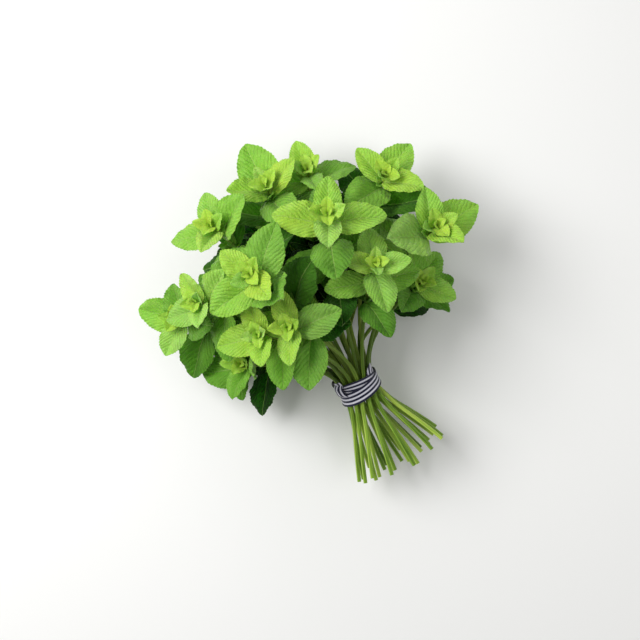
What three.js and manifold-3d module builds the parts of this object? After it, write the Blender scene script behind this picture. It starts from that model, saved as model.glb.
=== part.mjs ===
// A bunch of fresh mint tied with a striped ribbon, lying on its side on a flat surface.
// Millimetres, +Z up, the surface at z = 0, +Y from the cut ends to the leafy heads,
// and the origin on the surface below the middle of the bunch.
import * as THREE from "three";
import { mergeVertices } from "three/addons/utils/BufferGeometryUtils.js";
import Module from "manifold-3d";

const wasm = await Module();
wasm.setup();

const vec = (x, y, z) => new THREE.Vector3(x, y, z);
const rad = THREE.MathUtils.degToRad;
const lerp = THREE.MathUtils.lerp;
const up = vec(0, 0, 1);

// ---- Driving dimensions ----
const waist = vec(-9, -64, 43); // the middle of the tie
const axisRise = rad(16); // the bundle's axis climbs from the cut ends to the heads
const axis = vec(0, Math.cos(axisRise), Math.sin(axisRise));
const axisUp = vec(0, -Math.sin(axisRise), Math.cos(axisRise));
const axisRight = vec(1, 0, 0);

const stemSide = 3.2; // a mint stem is square
const stemTipSide = 1.5;
const stemWidth = (t) => lerp(stemSide, stemTipSide, t ** 1.5); // t from the tie to the head
const stemSteps = { below: 3, above: 8 };
const bud = [[2.2, 3], [7, 0.8]]; // how far the folded young leaves reach past the stem, and their width there
const cutEnds = { reach: 79, vary: 5, drop: 16, spread: 3.5, flat: 0.56, shift: 5 };
const waistTwist = 0.28; // slope of the stems round the axis where they cross the tie
const stemGap = 0.05;
const straightRun = 38; // how far each stem keeps its line past the tie
const domeMiddle = vec(waist.x, waist.y + 100, 55); // the heads turn away from here
const domeTurn = 0.45;
const tipShare = 0.5; // how much of a stem's bow its head takes on
// How far a stem bows aside and up on its way to its head: the first of these that is clear is taken.
const stemBow = [
  [0, 0], [6, 0], [-6, 0], [0, 6], [0, -6], [12, 0], [-12, 0], [0, 12], [0, -12],
  [10, 10], [-10, 10], [14, -10], [-14, -10], [22, 0], [-22, 0],
];
const seats = [
  { count: 3, radius: 3.1 },
  { count: 9, radius: 8.1 },
  { count: 15, radius: 13.1 },
];

const bladeThick = 0.8;
const rootDepth = 0.35; // where a leaf starts inside its stem, as a share of the stem's side
const bladeGap = 0.45; // kept between the leaves of different sprigs
const deepestPress = 9; // how far the surface may push a leaf up
const bareStem = 54; // no leaf grows nearer the tie than this
// Opposite pairs from the tip down, each pair turned a quarter from the last. Skip is the share of
// a blade, from its root, that may touch the leaves of its own sprig.
const pairs = [
  { below: 3, length: 19, width: 11.5, pitch: 34, bend: 16, cells: 1, skip: 0.35 },
  { below: 7, length: 32, width: 20, pitch: 56, bend: 20, cells: 2, skip: 0.22 },
  { below: 14, length: 43, width: 27.5, pitch: 70, bend: 22, cells: 3, skip: 0.16 },
  { below: 33, length: 46, width: 30, pitch: 77, bend: 25, cells: 3, skip: 0.16 },
  { below: 55, length: 46, width: 30, pitch: 84, bend: 30, cells: 2, skip: 0.16 },
  { below: 79, length: 41, width: 26, pitch: 86, bend: 30, cells: 2, skip: 0.16 },
];

// Leaves turn to the light: how far one that would hang is raised, in degrees, how much straighter it is,
// the share of the twist that would make it face up, and what eases that twist for a blade on edge.
const light = { raise: 50, straighten: 0.7, twist: 0.7, ease: 0.35 };

// How a leaf gives way to what is in its place: the first of these that is clear is taken.
const giveScale = [1, 0.86, 0.72];
const giveYaw = [0, 14, -14, 28, -28];
const givePitch = [0, -12, 12, -24, 24, -38];

// The heads that face up and outwards: where each tip is from the tie (x, y) and over the surface (z),
// how far it turns up, the roll of its pairs and its size.
const heads = [
  { tip: [-104, 110, 62], lift: 2.2, roll: 0, size: 0.98 },
  { tip: [-82, 114, 92], lift: 1.3, roll: 45, size: 0.85 },
  { tip: [-46, 161, 84], lift: 1.6, roll: 47, size: 1 },
  { tip: [5, 170, 78], lift: 1.5, roll: 9, size: 1.08 },
  { tip: [40, 168, 66], lift: 1.5, roll: 100, size: 0.92 },
  { tip: [92, 137, 68], lift: 2.8, roll: -24, size: 1.06 },
  { tip: [107, 83, 84], lift: 2.8, roll: -24, size: 1.16 },
  { tip: [36, 126, 126], lift: 2, roll: 90, size: 1 },
  { tip: [-35, 112, 126], lift: 2, roll: 84, size: 1.05 },
  { tip: [-50, 70, 110], lift: 2, roll: 30, size: 0.9 },
  { tip: [-28, 65, 112], lift: 2, roll: 35, size: 1 },
  { tip: [52, 78, 114], lift: 2, roll: 25, size: 0.84 },
  { tip: [-72, 58, 57], lift: 2.2, roll: 20, size: 1.02 },
  { tip: [80, 50, 60], lift: 2.2, roll: 10, size: 1 },
];
// The sprigs under them lie in two fans, one on the surface and one above it.
const fanLift = 1.2;
const fans = [
  { count: 7, half: 58, reach: 146, sideReach: 98, height: 20 },
  { count: 6, half: 36, reach: 122, sideReach: 100, height: 46 },
];

const ribbon = { width: 11, thick: 0.8, wraps: 2, drift: 4.1, steps: 22, clear: 0.5, flare: 0.014, rise: 0.75 };
const knot = { turn: -64, length: 12, width: 7, height: 3.4 };

// ---- Draws ----
// The same number for the same sprig, leaf and purpose, from -1 to 1.
function draw(sprig, leaf, purpose) {
  const x = Math.sin(sprig * 12.9898 + leaf * 78.233 + purpose * 37.719) * 43758.5453;
  return 2 * (x - Math.floor(x)) - 1;
}

// ---- Solids ----
function solidFrom(points, triangles) {
  const geometry = new THREE.BufferGeometry();
  geometry.setAttribute("position", new THREE.Float32BufferAttribute(points.flatMap((p) => [p.x, p.y, p.z]), 3));
  geometry.setIndex(triangles);
  const merged = mergeVertices(geometry, 1e-4);
  return new wasm.Manifold(
    new wasm.Mesh({
      numProp: 3,
      vertProperties: merged.attributes.position.array,
      triVerts: new Uint32Array(merged.index.array),
    }),
  );
}

// A closed solid through rings of points that run anticlockwise seen from the last ring.
function loft(rings) {
  const n = rings[0].length;
  const triangles = [];
  for (let r = 0; r + 1 < rings.length; r++)
    for (let i = 0; i < n; i++) {
      const a = r * n + i;
      const b = r * n + ((i + 1) % n);
      triangles.push(a, b, b + n, a, b + n, a + n);
    }
  const last = (rings.length - 1) * n;
  for (let i = 1; i + 1 < n; i++) {
    triangles.push(0, i + 1, i);
    triangles.push(last, last + i, last + i + 1);
  }
  return solidFrom(rings.flat(), triangles);
}

// ---- Stems ----
// Two directions across a stem, the first as near straight up as it can be.
function across(along) {
  const first = up.clone().addScaledVector(along, -up.dot(along)).normalize();
  return [first, along.clone().cross(first)];
}

function listSprigs() {
  const list = heads.map((head) => ({
    tip: vec(waist.x + head.tip[0], waist.y + head.tip[1], head.tip[2]),
    lift: head.lift,
    roll: rad(head.roll),
    size: head.size,
    front: true,
  }));
  for (const fan of fans)
    for (let i = 0; i < fan.count; i++) {
      const n = list.length;
      const share = (2 * i) / (fan.count - 1) - 1;
      const angle = rad(fan.half * share + 4 * draw(n, 0, 1));
      const reach = lerp(fan.reach, fan.sideReach, Math.abs(share) ** 1.3);
      list.push({
        tip: vec(waist.x + reach * Math.sin(angle), waist.y + reach * Math.cos(angle), fan.height + 4 * draw(n, 0, 2)),
        lift: fanLift,
        roll: rad(45 + 30 * draw(n, 0, 3)),
        size: 0.97 + 0.08 * draw(n, 0, 4),
        front: false,
      });
    }
  return list;
}

// Gives each sprig its seat in the rings at the waist, so that the stems fan out without crossing.
function seatSprigs(list) {
  for (const sprig of list) {
    const out = sprig.tip.clone().sub(waist);
    sprig.lean = out.angleTo(axis);
    sprig.turn = Math.atan2(out.dot(axisRight), out.dot(axisUp));
  }
  const order = [...list].sort((a, b) => a.lean - b.lean);
  let from = 0;
  for (const ring of seats) {
    const members = order.slice(from, from + ring.count).sort((a, b) => a.turn - b.turn);
    from += ring.count;
    const step = (2 * Math.PI) / ring.count;
    let sine = 0;
    let cosine = 0;
    members.forEach((sprig, k) => {
      sine += Math.sin(sprig.turn - k * step);
      cosine += Math.cos(sprig.turn - k * step);
    });
    const start = Math.atan2(sine, cosine);
    members.forEach((sprig, k) => {
      sprig.seat = [ring.radius, start + k * step];
    });
  }
}

// The stem runs from its cut end through its seat in the tie to its tip.
function curveStem(sprig, index, bow) {
  const [radius, angle] = sprig.seat;
  const right = radius * Math.sin(angle);
  const high = radius * Math.cos(angle);
  const seat = waist.clone().addScaledVector(axisRight, right).addScaledVector(axisUp, high);
  const through = axis
    .clone()
    .addScaledVector(axisRight, (waistTwist * high) / seats[2].radius)
    .addScaledVector(axisUp, (-waistTwist * right) / seats[2].radius)
    .normalize();

  const reach = cutEnds.reach + cutEnds.vary * draw(index, 0, 5);
  const spread = cutEnds.spread * (1 + 0.1 * draw(index, 0, 6));
  const cutTwist = 0.65;
  const cutRight = spread * (right * Math.cos(cutTwist) - high * Math.sin(cutTwist)) + cutEnds.shift;
  const cutHigh = spread * cutEnds.flat * (right * Math.sin(cutTwist) + high * Math.cos(cutTwist));
  const cut = vec(cutRight, -reach, cutHigh - cutEnds.drop).setLength(reach).add(waist);
  const lower = new THREE.CubicBezierCurve3(
    cut,
    cut.clone().lerp(seat, 0.42),
    seat.clone().addScaledVector(through, -0.3 * reach),
    seat,
  );

  const shift = sprig.tip.clone().sub(seat).cross(up).setLength(bow[0]).addScaledVector(up, bow[1]);
  const tip = sprig.tip.clone().addScaledVector(shift, tipShare);
  const chord = tip.clone().sub(seat);
  const length = chord.length();
  const facing = chord
    .clone()
    .normalize()
    .addScaledVector(tip.clone().sub(domeMiddle).normalize(), domeTurn)
    .addScaledVector(up, sprig.lift)
    .normalize();
  const upper = new THREE.CubicBezierCurve3(
    seat,
    seat.clone().addScaledVector(through, Math.max(0.34 * length, straightRun)),
    tip.clone().addScaledVector(facing, -0.3 * length).add(shift),
    tip,
  );
  const joints = Array.from({ length: stemSteps.above + 1 }, (_, i) => upper.getPoint(i / stemSteps.above));
  Object.assign(sprig, { lower, upper, joints, length, index });
}

// The middle of the faceted stem, t from the tie to the head.
function stemMiddle(sprig, t) {
  const i = Math.min(Math.floor(t * stemSteps.above), stemSteps.above - 1);
  return sprig.joints[i].clone().lerp(sprig.joints[i + 1], t * stemSteps.above - i);
}

function stemSolid(sprig, gap) {
  const rings = [];
  const addRing = (middle, along, side) => {
    const [first, second] = across(along);
    const half = side / 2 + gap;
    const corners = [[1, 1], [-1, 1], [-1, -1], [1, -1]].map(([a, b]) =>
      middle.clone().addScaledVector(first, a * half).addScaledVector(second, b * half),
    );
    for (const corner of corners) corner.z = Math.max(corner.z, 0);
    rings.push(corners);
  };
  const ring = (curve, t, side) => addRing(curve.getPoint(t), curve.getTangent(t), side);
  for (let i = 0; i < stemSteps.below; i++) ring(sprig.lower, i / stemSteps.below, stemSide);
  for (let i = 0; i <= stemSteps.above; i++) {
    const t = i / stemSteps.above;
    ring(sprig.upper, t, stemWidth(t));
  }
  const tip = sprig.upper.getPoint(1);
  const onward = sprig.upper.getTangent(1);
  for (const [ahead, side] of bud) addRing(tip.clone().addScaledVector(onward, ahead), onward, side);
  return loft(rings);
}

// ---- Leaves ----
// Half-width along the blade as a share of the widest: ovate, widest below the middle.
const outline = (s) => Math.sin(Math.PI * s ** 0.82) ** 0.78;

// A point of the blade: s from root to tip, v from edge to edge, h off its middle sheet.
function bladePoint(leaf, s, v, h) {
  const turn = leaf.bend * s;
  const half = 0.5 * leaf.width * Math.max(outline(s), 0.75 / leaf.width);
  const normal = leaf.along.clone().multiplyScalar(Math.sin(turn)).addScaledVector(leaf.face, Math.cos(turn));
  const ripple = leaf.ripple * Math.sin(9.5 * s + leaf.phase) * v * Math.abs(v);
  return leaf.root
    .clone()
    .addScaledVector(leaf.along, (leaf.length * Math.sin(turn)) / leaf.bend)
    .addScaledVector(leaf.face, (-leaf.length * (1 - Math.cos(turn))) / leaf.bend)
    .addScaledVector(leaf.side, v * half)
    .addScaledVector(normal, leaf.fold * Math.abs(v) * half + ripple + h);
}

// A blade as thick as asked, from a share of its length to its tip, or null where the surface is in its way.
function bladeSolid(leaf, thick, from, widen) {
  const cells = leaf.cells;
  const upper = [];
  const lower = [];
  let pressed = 0;
  const add = (s, v) => {
    const above = bladePoint(leaf, s, v, thick / 2);
    const below = bladePoint(leaf, s, v, -thick / 2);
    const sunk = -Math.min(above.z, below.z, 0);
    pressed = Math.max(pressed, sunk);
    above.z += sunk;
    below.z += sunk;
    upper.push(above);
    lower.push(below);
    return upper.length - 1;
  };
  // Edge stations with a tooth between every two, and the rib at every other one.
  const left = [];
  const right = [];
  const rib = [];
  const point = (s) => {
    const end = add(s, 0);
    for (const line of [left, right, rib]) line.push(end);
  };
  point(from);
  for (let j = 1; j < 2 * cells; j++) {
    const s = lerp(from, 1, (j / (2 * cells)) ** 0.9);
    const tooth = j % 2 ? 1.06 : 0.93;
    left.push(add(s, tooth * widen));
    right.push(add(s, -tooth * widen));
    rib.push(j % 2 === 0 ? add(s, 0) : -1);
  }
  point(1);
  const face = [];
  for (let c = 0; c < cells; c++) {
    const a = rib[2 * c];
    const b = rib[2 * c + 2];
    for (const [edge, flip] of [[left, false], [right, true]]) {
      const [e0, e1, e2] = edge.slice(2 * c, 2 * c + 3);
      const cell = [[a, e1, b]];
      if (c > 0) cell.push([a, e0, e1]);
      if (c < cells - 1) cell.push([e1, e2, b]);
      for (const t of cell) face.push(flip ? [t[0], t[2], t[1]] : t);
    }
  }
  const n = upper.length;
  const triangles = face.flatMap(([a, b, c]) => [a, b, c, a + n, c + n, b + n]);
  const rim = [...left, ...right.slice(1, -1).reverse()];
  for (let i = 0; i < rim.length; i++) {
    const a = rim[i];
    const b = rim[(i + 1) % rim.length];
    triangles.push(a, b + n, b, a, a + n, b + n);
  }
  return { solid: solidFrom([...upper, ...lower], triangles), pressed };
}

function leafOn(sprig, level, side, give) {
  const pair = pairs[level];
  const key = 2 * level + side;
  const vary = (purpose) => draw(sprig.index, key + 1, purpose);
  const t = 1 - (pair.below * sprig.size) / sprig.length;
  const along = sprig.upper.getTangent(t);
  const [first, second] = across(along);
  const azimuth = sprig.roll + (level % 2) * (Math.PI / 2) + side * Math.PI + rad(give.yaw + 7 * vary(1));
  const out = first.multiplyScalar(Math.cos(azimuth)).addScaledVector(second, Math.sin(azimuth));
  const size = sprig.size * give.scale * (1 + 0.07 * vary(3));
  const heading = (pitch) => along.clone().multiplyScalar(Math.cos(pitch)).addScaledVector(out, Math.sin(pitch));
  const free = rad(pair.pitch + give.pitch + 8 * vary(2));
  const droop = Math.max(0, -heading(free).z);
  const pitch = free - rad(light.raise) * droop;
  const leafAlong = heading(pitch);
  const face = along.clone().multiplyScalar(Math.sin(pitch)).addScaledVector(out, -Math.cos(pitch));
  const sideways = leafAlong.clone().cross(face);
  const tilt = rad(10 * vary(4)) + light.twist * Math.atan2(-sideways.z, face.z + light.ease);
  return {
    root: stemMiddle(sprig, t).addScaledVector(out, rootDepth * stemWidth(t)),
    along: leafAlong,
    side: sideways.clone().multiplyScalar(Math.cos(tilt)).addScaledVector(face, Math.sin(tilt)),
    face: face.clone().multiplyScalar(Math.cos(tilt)).addScaledVector(sideways, -Math.sin(tilt)),
    length: pair.length * size,
    width: pair.width * size * (1 + 0.06 * vary(5)),
    bend: rad(pair.bend + 8 * vary(6)) * (1 - light.straighten * droop),
    fold: 0.2 + 0.1 * vary(7),
    ripple: 0.03 * pair.width,
    phase: 3 * vary(8),
    cells: sprig.front ? pair.cells : Math.min(pair.cells, 2),
  };
}

function boxesMeet(a, b) {
  return [0, 1, 2].every((k) => a.min[k] <= b.max[k] && b.min[k] <= a.max[k]);
}

function crosses(solid, others) {
  const box = solid.boundingBox();
  return others.some((other) => {
    if (!boxesMeet(box, other.box)) return false;
    const common = solid.intersect(other.solid);
    const meets = !common.isEmpty();
    common.delete();
    return meets;
  });
}

function growStems(sprigs, tie) {
  const grown = [tie];
  sprigs.forEach((sprig, index) => {
    const clear = stemBow.find((bow) => {
      curveStem(sprig, index, bow);
      return !crosses(stemSolid(sprig, stemGap), grown);
    });
    if (!clear) throw new Error(`no room for the stem of sprig ${index + 1}`);
    const stem = stemSolid(sprig, 0);
    sprig.parts = [{ solid: stem, box: stem.boundingBox() }];
    grown.push(sprig.parts[0]);
  });
}

// The highest pairs grow first, so that the heads keep their form and the leaves under them give way.
function growLeaves(sprigs, tie) {
  pairs.forEach((pair, level) => {
    for (const sprig of sprigs) {
      if (sprig.length - pair.below * sprig.size < bareStem) continue;
      for (const side of [0, 1]) {
        const leaf = fitLeaf(sprigs, sprig, tie, level, side);
        if (leaf) sprig.parts.push(leaf);
      }
    }
  });
}

function fitLeaf(sprigs, sprig, tie, level, side) {
  const others = [tie, ...sprigs.filter((s) => s !== sprig).flatMap((s) => s.parts)];
  for (const scale of giveScale)
    for (const yaw of giveYaw)
      for (const pitch of givePitch) {
        const leaf = leafOn(sprig, level, side, { scale, yaw, pitch });
        const thin = bladeSolid(leaf, bladeThick, 0, 1);
        if (thin.pressed > deepestPress) continue;
        const padded = bladeSolid(leaf, bladeThick + 2 * bladeGap, 0, 1 + bladeGap / leaf.width);
        const free = bladeSolid(leaf, bladeThick, pairs[level].skip, 1);
        if (!crosses(padded.solid, others) && !crosses(free.solid, sprig.parts.slice(1)))
          return { solid: thin.solid, box: thin.solid.boundingBox() };
      }
  return null;
}

// ---- Ribbon ----
// A point over the bundle: turn is round the axis from straight up, z along it from the tie's middle.
function wrapPoint(turn, z, height) {
  const flare = seats[2].radius + 0.71 * stemSide + ribbon.clear + ribbon.flare * z * z;
  const out = axisRight.clone().multiplyScalar(Math.sin(turn)).addScaledVector(axisUp, Math.cos(turn));
  return waist.clone().addScaledVector(axis, z).addScaledVector(out, flare + height);
}

// Two wraps that start and end at the knot, apart on its side and one over the other across from it.
function wrapsSolid() {
  const count = ribbon.steps * ribbon.wraps;
  const rings = [];
  for (let i = 0; i <= count; i++) {
    const round = (2 * Math.PI * i) / ribbon.steps;
    const middle = ribbon.drift * Math.cos(round / 2);
    const height = (ribbon.rise * i) / ribbon.steps;
    const corner = (z, h) => wrapPoint(rad(knot.turn) + round, z, h);
    const low = middle - ribbon.width / 2;
    const high = middle + ribbon.width / 2;
    rings.push([
      corner(low, height),
      corner(high, height),
      corner(high, height + ribbon.thick),
      corner(low, height + ribbon.thick),
    ]);
  }
  return loft(rings);
}

// The knot is a strip pulled tight across the wraps, humped in the middle.
function knotSolid() {
  const sides = 8;
  const steps = 5;
  const rings = [];
  for (let i = 0; i <= steps; i++) {
    const z = ribbon.drift + knot.length * (i / steps - 0.5);
    const swell = lerp(0.45, 1, Math.sin((Math.PI * i) / steps));
    const ring = [];
    for (let k = 0; k < sides; k++) {
      const angle = (2 * Math.PI * k) / sides;
      const turn = rad(knot.turn) + (0.5 * knot.width * swell * Math.sin(angle)) / seats[2].radius;
      ring.push(wrapPoint(turn, z, ribbon.rise + knot.height * swell * (0.5 + 0.5 * Math.cos(angle))));
    }
    rings.push(ring);
  }
  return loft(rings);
}

// ---- The bunch ----
function meshOf(name, solid, material) {
  const raw = solid.getMesh();
  const geometry = new THREE.BufferGeometry();
  geometry.setAttribute("position", new THREE.BufferAttribute(raw.vertProperties, 3));
  geometry.setIndex(new THREE.BufferAttribute(raw.triVerts, 1));
  geometry.computeVertexNormals();
  const mesh = new THREE.Mesh(geometry, material);
  mesh.name = name;
  return mesh;
}

const mint = new THREE.MeshStandardMaterial({ color: 0x5f9e35, roughness: 0.6, metalness: 0 });
const cloth = new THREE.MeshStandardMaterial({ color: 0x8a8ca0, roughness: 0.85, metalness: 0 });

const sprigs = listSprigs();
seatSprigs(sprigs);
const ribbonSolid = wrapsSolid().add(knotSolid());
const tie = { solid: ribbonSolid, box: ribbonSolid.boundingBox() };
growStems(sprigs, tie);
growLeaves(sprigs, tie);

const bunch = new THREE.Group();
sprigs.forEach((sprig, i) => {
  const whole = wasm.Manifold.union(sprig.parts.map((part) => part.solid));
  bunch.add(meshOf(`sprig_${String(i + 1).padStart(2, "0")}`, whole, mint));
});
bunch.add(meshOf("tie_ribbon", ribbonSolid, cloth));

export default bunch;
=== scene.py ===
import math

import bpy
import numpy as np
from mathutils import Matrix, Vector
from mathutils.kdtree import KDTree


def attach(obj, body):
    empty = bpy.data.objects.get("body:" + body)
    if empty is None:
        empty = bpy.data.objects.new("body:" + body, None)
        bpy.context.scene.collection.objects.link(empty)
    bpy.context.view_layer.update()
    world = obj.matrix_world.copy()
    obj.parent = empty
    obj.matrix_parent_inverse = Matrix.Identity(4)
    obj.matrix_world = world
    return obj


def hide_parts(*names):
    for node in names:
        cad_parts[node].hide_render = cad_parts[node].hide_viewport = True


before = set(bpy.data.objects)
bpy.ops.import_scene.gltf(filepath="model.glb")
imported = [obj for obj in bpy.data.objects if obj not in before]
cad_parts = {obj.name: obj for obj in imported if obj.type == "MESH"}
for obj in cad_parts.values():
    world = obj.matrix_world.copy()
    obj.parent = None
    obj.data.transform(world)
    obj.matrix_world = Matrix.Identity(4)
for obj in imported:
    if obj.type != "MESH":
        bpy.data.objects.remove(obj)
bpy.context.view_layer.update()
mm = 0.001  # lengths below are in millimetres, and meshes get metres

# The bunch's own measures, which the solids share
bunch = {
    "waist": (-9, -64, 43),  # the middle of the tie
    "axisRise": 16,  # degrees that the bundle climbs from the cut ends to the heads
    "seats": ((3, 3.1), (9, 8.1), (15, 13.1)),  # stems in each ring of the tie, and its radius
    "cutEnds": {"reach": 79, "vary": 5, "drop": 16, "spread": 3.5, "flat": 0.56, "shift": 5, "twist": 0.65},
    "waistTwist": 0.28,
    "handles": {"cut": 0.42, "below": 0.3, "above": 0.34, "head": 0.3},  # of the curves, for their length
    "bud": (7, 0.8),  # how far the solids' pointed ends reach past the stems, and their width
    "straightRun": 38,
    "stemSide": 3.2,
    "tipSide": 1.5,
    "taper": 1.5,  # how late a stem narrows towards its tip
    "domeMiddle": (-9, 36, 55),
    "domeTurn": 0.45,
    "tipShare": 0.5,
    "bows": ((0, 0), (6, 0), (-6, 0), (0, 6), (0, -6), (12, 0), (-12, 0), (0, 12), (0, -12),
             (10, 10), (-10, 10), (14, -10), (-14, -10), (22, 0), (-22, 0)),
}

# Where each upper head's tip is from the tie (x, y) and over the surface (z), its lift, roll and size
heads = [
    ((-104, 110, 62), 2.2, 0, 0.98), ((-82, 114, 92), 1.3, 45, 0.85), ((-46, 161, 84), 1.6, 47, 1),
    ((5, 170, 78), 1.5, 9, 1.08), ((40, 168, 66), 1.5, 100, 0.92), ((92, 137, 68), 2.8, -24, 1.06),
    ((107, 83, 84), 2.8, -24, 1.16), ((36, 126, 126), 2, 90, 1), ((-35, 112, 126), 2, 84, 1.05),
    ((-50, 70, 110), 2, 30, 0.9), ((-28, 65, 112), 2, 35, 1), ((52, 78, 114), 2, 25, 0.84),
    ((-72, 58, 57), 2.2, 20, 1.02), ((80, 50, 60), 2.2, 10, 1),
]
# The sprigs under them: how many, half their fan in degrees, reach ahead and to the sides, height
fans = [(7, 58, 146, 98, 20), (6, 36, 122, 100, 46)]
fanForm = {"lift": 1.2, "roll": 45, "size": 0.97, "sides": 1.3,  # sides: how late the reach falls to them
           "vary": {"angle": 4, "height": 4, "roll": 30, "size": 0.08}}

# Opposite pairs of leaves from the tip down: distance below it, length, width, pitch, bend
pairs = [(3, 19, 11.5, 34, 16), (7, 32, 20, 56, 20), (14, 43, 27.5, 70, 22),
         (33, 46, 30, 77, 25), (55, 46, 30, 84, 30), (79, 41, 26, 86, 30)]
# Leaves turn to the light: how far one that would hang is raised, in degrees, how much straighter it is,
# the share of the twist that would make it face up, and what eases that twist for a blade on edge
light = {"raise": 50, "straighten": 0.7, "twist": 0.7, "ease": 0.35}
leafGrowth = {
    "thick": 0.8,  # of the solids' blades
    "rootDepth": 0.35,
    "bareStem": 54,
    "fold": 0.2, "ripple": 0.03,  # of the halves, and of the margin for the width
    "fit": 0.05,  # how near a blade's corners are to its solid's
    "giveScale": (1, 0.86, 0.72),
    "giveYaw": (0, 14, -14, 28, -28),
    "givePitch": (0, -12, 12, -24, 24, -38),
}

# How much single leaves differ: angles in degrees, and the rest in shares
leafVary = {"azimuth": 7, "pitch": 8, "bend": 8, "tilt": 10, "size": 0.07, "width": 0.06, "fold": 0.1,
            "phase": 3, "twist": 0.4}

up = np.array((0.0, 0.0, 1.0))
waist = np.array(bunch["waist"], float)
rise = math.radians(bunch["axisRise"])
axis = np.array((0, math.cos(rise), math.sin(rise)))
axisUp = np.array((0, -math.sin(rise), math.cos(rise)))
axisRight = np.array((1.0, 0, 0))
outerRing = bunch["seats"][2][1]


def unit(a):
    return a / np.linalg.norm(a)


def lerp(a, b, t):
    return a + (b - a) * t


def draw(sprig, leaf, purpose):
    # the same number for the same sprig, leaf and purpose, from -1 to 1
    x = math.sin(sprig * 12.9898 + leaf * 78.233 + purpose * 37.719) * 43758.5453
    return 2 * (x - math.floor(x)) - 1


def stemWidth(t):
    # the side of a square stem, t of the way from the tie to its tip
    return lerp(bunch["stemSide"], bunch["tipSide"], t ** bunch["taper"])


def across(along):
    # two directions square to this one, the first as near to upwards as can be
    first = unit(up - along * float(up @ along))
    return first, np.cross(along, first)


def bezierPoint(points, t):
    t = np.asarray(t, float)[..., None]
    a, b, c, d = points
    return (1 - t) ** 3 * a + 3 * (1 - t) ** 2 * t * b + 3 * (1 - t) * t * t * c + t ** 3 * d


def bezierTangent(points, t):
    t = np.asarray(t, float)[..., None]
    a, b, c, d = points
    slope = 3 * (1 - t) ** 2 * (b - a) + 6 * (1 - t) * t * (c - b) + 3 * t * t * (d - c)
    return slope / np.linalg.norm(slope, axis=-1, keepdims=True)


def listSprigs():
    # the upper heads one by one, then the fans under them
    sprigs = []
    for tip, lift, roll, size in heads:
        place = (waist[0] + tip[0], waist[1] + tip[1], tip[2])
        sprigs.append({"tip": np.array(place, float), "lift": lift, "roll": math.radians(roll),
                       "size": size, "front": True})
    vary = fanForm["vary"]
    for count, half, reachAhead, reachAside, height in fans:
        for i in range(count):
            n = len(sprigs)
            share = 2 * i / (count - 1) - 1
            angle = math.radians(half * share + vary["angle"] * draw(n, 0, 1))
            reach = lerp(reachAhead, reachAside, abs(share) ** fanForm["sides"])
            place = (waist[0] + reach * math.sin(angle), waist[1] + reach * math.cos(angle),
                     height + vary["height"] * draw(n, 0, 2))
            roll = math.radians(fanForm["roll"] + vary["roll"] * draw(n, 0, 3))
            size = fanForm["size"] + vary["size"] * draw(n, 0, 4)
            sprigs.append({"tip": np.array(place), "lift": fanForm["lift"], "roll": roll, "size": size,
                           "front": False})
    return sprigs


def seatSprigs(sprigs):
    # the straightest stems take the inner ring, and each ring is filled round in order
    for sprig in sprigs:
        out = sprig["tip"] - waist
        sprig["lean"] = math.acos(float(out @ axis) / np.linalg.norm(out))
        sprig["turn"] = math.atan2(float(out @ axisRight), float(out @ axisUp))
    order = sorted(sprigs, key=lambda s: s["lean"])
    start = 0
    for count, radius in bunch["seats"]:
        members = sorted(order[start:start + count], key=lambda s: s["turn"])
        start += count
        step = 2 * math.pi / count
        sine = sum(math.sin(s["turn"] - k * step) for k, s in enumerate(members))
        cosine = sum(math.cos(s["turn"] - k * step) for k, s in enumerate(members))
        first = math.atan2(sine, cosine)
        for k, sprig in enumerate(members):
            sprig["seat"] = (radius, first + k * step)


def runStem(sprig, index, bow):
    # a stem's two curves, which meet in the tie: the upper one is bowed this far aside and up
    radius, angle = sprig["seat"]
    right, high = radius * math.sin(angle), radius * math.cos(angle)
    seat = waist + axisRight * right + axisUp * high
    slope = bunch["waistTwist"] / outerRing
    through = unit(axis + axisRight * slope * high - axisUp * slope * right)
    ends = bunch["cutEnds"]
    reach = ends["reach"] + ends["vary"] * draw(index, 0, 5)
    spread = ends["spread"] * (1 + 0.1 * draw(index, 0, 6))
    cosine, sine = math.cos(ends["twist"]), math.sin(ends["twist"])
    cutRight = spread * (right * cosine - high * sine) + ends["shift"]
    cutHigh = spread * ends["flat"] * (right * sine + high * cosine)
    cut = waist + reach * unit(np.array((cutRight, -reach, cutHigh - ends["drop"])))
    handles = bunch["handles"]
    sprig["lower"] = (cut, lerp(cut, seat, handles["cut"]), seat - through * handles["below"] * reach, seat)
    shift = np.cross(sprig["tip"] - seat, up)
    shift = unit(shift) * bow[0] + up * bow[1]
    tip = sprig["tip"] + shift * bunch["tipShare"]
    chord = tip - seat
    length = float(np.linalg.norm(chord))
    outward = unit(tip - np.array(bunch["domeMiddle"]))
    facing = unit(unit(chord) + outward * bunch["domeTurn"] + up * sprig["lift"])
    sprig["upper"] = (seat, seat + through * max(handles["above"] * length, bunch["straightRun"]),
                      tip - facing * handles["head"] * length + shift, tip)
    sprig["joints"] = bezierPoint(sprig["upper"], np.linspace(0, 1, 9))
    sprig["length"] = length
    sprig["index"] = index


def stemMiddle(sprig, t):
    i = min(int(t * 8), 7)
    return lerp(sprig["joints"][i], sprig["joints"][i + 1], t * 8 - i)


def nodePoints(index):
    # the corners of a sprig's own solid, in millimetres
    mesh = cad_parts[f"sprig_{index + 1:02d}"].data
    points = np.empty(len(mesh.vertices) * 3)
    mesh.vertices.foreach_get("co", points)
    points = np.unique(np.round(points.reshape(-1, 3) / mm, 3), axis=0)
    tree = KDTree(len(points))
    for i, p in enumerate(points):
        tree.insert(p, i)
    tree.balance()
    return tree


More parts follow.
